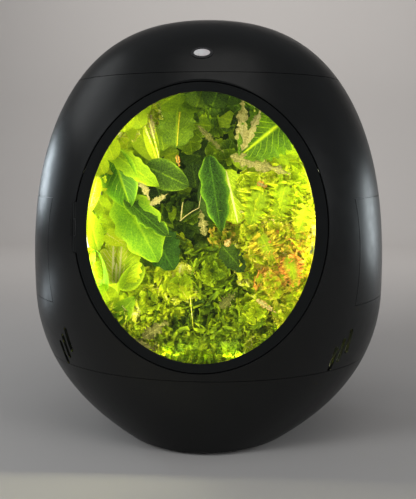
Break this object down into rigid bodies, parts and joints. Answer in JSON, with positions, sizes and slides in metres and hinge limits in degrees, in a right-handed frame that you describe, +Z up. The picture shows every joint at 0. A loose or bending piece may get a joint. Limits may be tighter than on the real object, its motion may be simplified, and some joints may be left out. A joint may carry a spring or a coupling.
{
  "type": "countertop hydroponic garden",
  "caption": "Egg-shaped indoor hydroponic garden cabinet with an oval glass door, planted grow wall, lights, pump, reservoir and exhaust fan.",
  "frame": {"origin": "centre of the footprint, on the surface the feet stand on", "axes": "+Z up, the door faces -Y, +X to the right of someone facing the door"},
  "size_m": [0.5839, 0.4761, 0.6715],
  "materials": {
    "shell_black": "glossy moulded shell",
    "panel_black": "glossy moulded panel",
    "trim_black": "satin ring",
    "pane": "clear",
    "rubber": "soft matte",
    "steel": "plain",
    "magnet": "plated",
    "tank_grey": "translucent tank",
    "liner_white": "satin white liner",
    "pot_black": "moulded",
    "plug_brown": "spongy growing medium",
    "leaf_lime": "living leaf",
    "leaf_mid": "living leaf",
    "leaf_deep": "living leaf",
    "lamp_white": "white housing",
    "tray_frost": "frosted diffuser",
    "board_green": "circuit board",
    "pump_black": "moulded",
    "tube_clear": "milky tube",
    "float_yellow": "foam float",
    "button_pearl": "pearl",
    "bezel_dark": "dark satin"
  },
  "bodies": {
    "cabinet": {"base_shell": "shell_black", "button_bezel": "bezel_dark", "ceiling_plate": "liner_white", "control_board": "board_green", "drip_manifold": "tube_clear", "fan_frame": "pump_black", "floor_deck": "liner_white", "foot_1": "rubber", "foot_2": "rubber", "foot_3": "rubber", "foot_4": "rubber", "foot_screws": "steel", "front_shell": "shell_black", "grow_plugs": "plug_brown", "grow_wall": "liner_white", "hinge_pin": "steel", "led_board": "board_green", "led_tray": "tray_frost", "light_bar_left": "lamp_white", "light_bar_right": "lamp_white", "net_pot_1": "pot_black", "net_pot_2": "pot_black", "net_pot_3": "pot_black", "net_pot_4": "pot_black", "net_pot_5": "pot_black", "net_pot_6": "pot_black", "net_pot_7": "pot_black", "net_pot_8": "pot_black", "net_pot_9": "pot_black", "plant_1": "leaf_lime", "plant_2": "leaf_mid", "plant_3": "leaf_mid", "plant_4": "leaf_lime", "plant_5": "leaf_deep", "plant_6": "leaf_mid", "plant_7": "leaf_lime", "plant_8": "leaf_deep", "plant_9": "leaf_mid", "power_inlet": "pump_black", "pump_body": "pump_black", "rear_shell": "shell_black", "reservoir": "tank_grey", "riser_tube": "tube_clear", "side_panel_left": "panel_black", "side_panel_right": "panel_black", "strike_magnets": "magnet", "tact_switch": "pump_black", "top_cap": "shell_black"},
    "door": {"door_frame": "trim_black", "door_glass": "pane", "door_gasket": "rubber", "door_magnets": "magnet"},
    "button": {"status_button": "button_pearl"},
    "fan": {"fan_rotor": "pump_black"},
    "impeller": {"pump_impeller": "pump_black"},
    "float": {"level_float": "float_yellow"},
    "flap": {"filler_flap": "liner_white"}
  },
  "joints": [
    {"name": "door_swing", "type": "hinge", "parent": "cabinet", "child": "door", "pos_m": [-0.18325, -0.21192, 0.35167], "axis": [0, -0.1094, -0.994], "range_deg": [0, 110]},
    {"name": "flap_lift", "type": "hinge", "parent": "cabinet", "child": "flap", "pos_m": [0.08, -0.1549, 0.1192], "axis": [-1, 0, 0], "range_deg": [0, 95]},
    {"name": "button_press", "type": "slide", "parent": "cabinet", "child": "button", "axis": [0, 0.7969, -0.6041], "range_m": [0, 0.0012], "stiffness_N_per_m": 600},
    {"name": "fan_spin", "type": "hinge", "parent": "cabinet", "child": "fan", "pos_m": [0, 0.0511, 0.57], "axis": [0, 0, 1], "continuous": true},
    {"name": "pump_spin", "type": "hinge", "parent": "cabinet", "child": "impeller", "pos_m": [0.036, 0.0991, 0.039], "axis": [0, -1, 0], "continuous": true},
    {"name": "float_rise", "type": "slide", "parent": "cabinet", "child": "float", "axis": [0, 0, 1], "range_m": [0, 0.06]}
  ]
}
